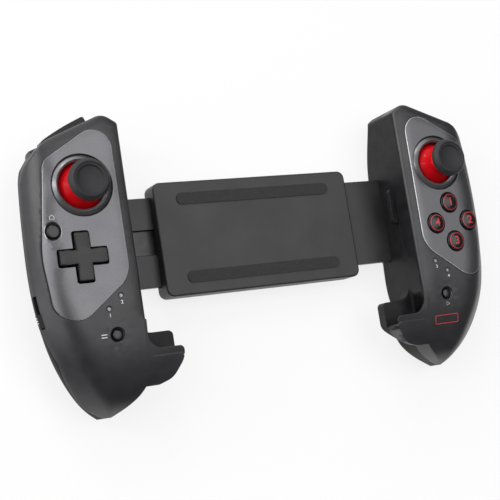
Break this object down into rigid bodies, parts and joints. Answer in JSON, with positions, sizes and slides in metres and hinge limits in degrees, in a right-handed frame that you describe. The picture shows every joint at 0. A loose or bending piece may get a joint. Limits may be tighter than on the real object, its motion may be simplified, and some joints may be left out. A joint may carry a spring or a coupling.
{
  "type": "telescopic mobile gamepad",
  "caption": "Stretching gamepad whose two grips slide on a central bridge to hold a phone, with thumb sticks, a direction pad, face buttons, bumpers and triggers.",
  "frame": {"origin": "on the rest plane, midway between the two grips and midway up them", "axes": "+X towards the right-hand grip, +Y up the grips towards the bumpers, +Z out of the front face, where the sticks are"},
  "size_m": [0.2558, 0.1426, 0.051],
  "materials": {
    "front_shell_black": "fine matte",
    "rear_shell_black": "fine matte",
    "faceplate_grey": "satin, darker towards its lower outer end",
    "cap_rubber": "matte",
    "dome_red": "gloss",
    "ring_satin": "satin",
    "button_black": "semi-gloss",
    "trigger_black": "satin",
    "bridge_black": "fine matte",
    "pad_rubber": "matte",
    "contact_rubber": "matte",
    "board_green": "lacquered",
    "lens_white": "clear",
    "battery_wrap": "foil",
    "cable_film": "film",
    "inner_plastic": "plain",
    "steel": "plated"
  },
  "bodies": {
    "bridge": {"bridge_front_cover": "bridge_black", "bridge_rear_cover": "bridge_black", "bridge_pads": "pad_rubber", "bridge_screws": "steel", "left_tension_springs": "steel", "right_tension_springs": "steel", "link_cable": "cable_film"},
    "left_grip": {"left_front_shell": "front_shell_black", "left_rear_shell": "rear_shell_black", "left_faceplate": "faceplate_grey", "left_stick_ring": "ring_satin", "left_arm": "bridge_black", "left_circuit_board": "board_green", "left_contact_sheet": "contact_rubber", "left_case_screws": "steel", "left_led_lenses": "lens_white", "left_retaining_tab": "pad_rubber", "left_stick_housing": "steel", "left_shoulder_pins": "steel", "left_trigger_spring": "steel", "dpad_post": "inner_plastic", "mode_switch_body": "inner_plastic"},
    "left_stick_cradle": {"left_stick_yoke": "inner_plastic"},
    "left_stick_lever": {"left_stick_shaft": "steel"},
    "left_stick_top": {"left_stick_dome": "dome_red", "left_stick_cap": "cap_rubber"},
    "left_bumper": {"left_bumper": "trigger_black"},
    "left_trigger": {"left_trigger": "trigger_black"},
    "right_grip": {"right_front_shell": "front_shell_black", "right_rear_shell": "rear_shell_black", "right_faceplate": "faceplate_grey", "right_stick_ring": "ring_satin", "right_arm": "bridge_black", "right_circuit_board": "board_green", "right_contact_sheet": "contact_rubber", "right_case_screws": "steel", "right_led_lenses": "lens_white", "right_retaining_tab": "pad_rubber", "right_stick_housing": "steel", "right_shoulder_pins": "steel", "right_trigger_spring": "steel", "battery": "battery_wrap", "usb_port": "steel"},
    "right_stick_cradle": {"right_stick_yoke": "inner_plastic"},
    "right_stick_lever": {"right_stick_shaft": "steel"},
    "right_stick_top": {"right_stick_dome": "dome_red", "right_stick_cap": "cap_rubber"},
    "right_bumper": {"right_bumper": "trigger_black"},
    "right_trigger": {"right_trigger": "trigger_black"},
    "top_button": {"top_button": "button_black"},
    "right_button": {"right_button": "button_black"},
    "bottom_button": {"bottom_button": "button_black"},
    "left_button": {"left_button": "button_black"},
    "start_button": {"start_button": "button_black"},
    "select_button": {"select_button": "button_black"},
    "home_button": {"home_button": "button_black"},
    "dpad_pivot": {"dpad_pivot": "inner_plastic"},
    "dpad": {"dpad": "button_black"},
    "mode_switch": {"mode_switch_knob": "inner_plastic"}
  },
  "joints": [
    {"name": "left_grip_slide", "type": "slide", "parent": "bridge", "child": "left_grip", "axis": [-1, 0, 0], "range_m": [-0.0219, 0.0443], "deforming": ["left_tension_springs", "link_cable"]},
    {"name": "left_stick_up_down", "type": "hinge", "parent": "left_grip", "child": "left_stick_cradle", "pos_m": [-0.1003, 0.0374, 0.0271], "axis": [1, 0, 0], "range_deg": [-18, 18], "stiffness_Nm_per_rad": 0.02},
    {"name": "left_stick_side_to_side", "type": "hinge", "parent": "left_stick_cradle", "child": "left_stick_lever", "pos_m": [-0.1003, 0.0374, 0.0271], "axis": [0, 1, 0], "range_deg": [-18, 18], "stiffness_Nm_per_rad": 0.02},
    {"name": "left_stick_click", "type": "slide", "parent": "left_stick_lever", "child": "left_stick_top", "axis": [0, 0, -1], "range_m": [0, 0.0005], "stiffness_N_per_m": 60, "springref_m": -0.002},
    {"name": "left_bumper_press", "type": "hinge", "parent": "left_grip", "child": "left_bumper", "pos_m": [-0.086, 0.06645, 0.0234], "axis": [0, 0, 1], "range_deg": [0, 2.4], "stiffness_Nm_per_rad": 0.03, "springref_deg": -11.46},
    {"name": "left_trigger_pull", "type": "hinge", "parent": "left_grip", "child": "left_trigger", "pos_m": [-0.10215, 0.06103, 0.0136], "axis": [-0.9277, -0.3733, 0], "range_deg": [0, 10], "stiffness_Nm_per_rad": 0.03, "springref_deg": -11.46},
    {"name": "right_grip_slide", "type": "slide", "parent": "bridge", "child": "right_grip", "axis": [1, 0, 0], "range_m": [-0.0219, 0.0443], "deforming": ["right_tension_springs", "link_cable"]},
    {"name": "right_stick_up_down", "type": "hinge", "parent": "right_grip", "child": "right_stick_cradle", "pos_m": [0.1003, 0.0374, 0.0271], "axis": [1, 0, 0], "range_deg": [-18, 18], "stiffness_Nm_per_rad": 0.02},
    {"name": "right_stick_side_to_side", "type": "hinge", "parent": "right_stick_cradle", "child": "right_stick_lever", "pos_m": [0.1003, 0.0374, 0.0271], "axis": [0, 1, 0], "range_deg": [-18, 18], "stiffness_Nm_per_rad": 0.02},
    {"name": "right_stick_click", "type": "slide", "parent": "right_stick_lever", "child": "right_stick_top", "axis": [0, 0, -1], "range_m": [0, 0.0005], "stiffness_N_per_m": 60, "springref_m": -0.002},
    {"name": "right_bumper_press", "type": "hinge", "parent": "right_grip", "child": "right_bumper", "pos_m": [0.086, 0.06645, 0.0234], "axis": [0, 0, -1], "range_deg": [0, 2.4], "stiffness_Nm_per_rad": 0.03, "springref_deg": -11.46},
    {"name": "right_trigger_pull", "type": "hinge", "parent": "right_grip", "child": "right_trigger", "pos_m": [0.10215, 0.06103, 0.0136], "axis": [-0.9277, 0.3733, 0], "range_deg": [0, 10], "stiffness_Nm_per_rad": 0.03, "springref_deg": -11.46},
    {"name": "top_button_press", "type": "slide", "parent": "right_grip", "child": "top_button", "axis": [0, 0, -1], "range_m": [0, 0.0013], "stiffness_N_per_m": 20, "springref_m": -0.002},
    {"name": "right_button_press", "type": "slide", "parent": "right_grip", "child": "right_button", "axis": [0, 0, -1], "range_m": [0, 0.0013], "stiffness_N_per_m": 20, "springref_m": -0.002},
    {"name": "bottom_button_press", "type": "slide", "parent": "right_grip", "child": "bottom_button", "axis": [0, 0, -1], "range_m": [0, 0.0013], "stiffness_N_per_m": 20, "springref_m": -0.002},
    {"name": "left_button_press", "type": "slide", "parent": "right_grip", "child": "left_button", "axis": [0, 0, -1], "range_m": [0, 0.0013], "stiffness_N_per_m": 20, "springref_m": -0.002},
    {"name": "start_button_press", "type": "slide", "parent": "right_grip", "child": "start_button", "axis": [0, 0, -1], "range_m": [0, 0.0008], "stiffness_N_per_m": 20, "springref_m": -0.002},
    {"name": "select_button_press", "type": "slide", "parent": "left_grip", "child": "select_button", "axis": [0, 0, -1], "range_m": [0, 0.0008], "stiffness_N_per_m": 20, "springref_m": -0.002},
    {"name": "home_button_press", "type": "slide", "parent": "left_grip", "child": "home_button", "axis": [0, 0, -1], "range_m": [0, 0.0008], "stiffness_N_per_m": 20, "springref_m": -0.002},
    {"name": "dpad_rock_up_down", "type": "hinge", "parent": "left_grip", "child": "dpad_pivot", "pos_m": [-0.1046, 0.00385, 0.0335], "axis": [1, 0, 0], "range_deg": [-4.5, 4.5], "stiffness_Nm_per_rad": 0.02},
    {"name": "dpad_rock_side_to_side", "type": "hinge", "parent": "dpad_pivot", "child": "dpad", "pos_m": [-0.1046, 0.00385, 0.0335], "axis": [0, 1, 0], "range_deg": [-4.5, 4.5], "stiffness_Nm_per_rad": 0.02},
    {"name": "mode_switch_slide", "type": "slide", "parent": "left_grip", "child": "mode_switch", "axis": [-0.165, 0.9863, 0], "range_m": [0, 0.008]}
  ]
}
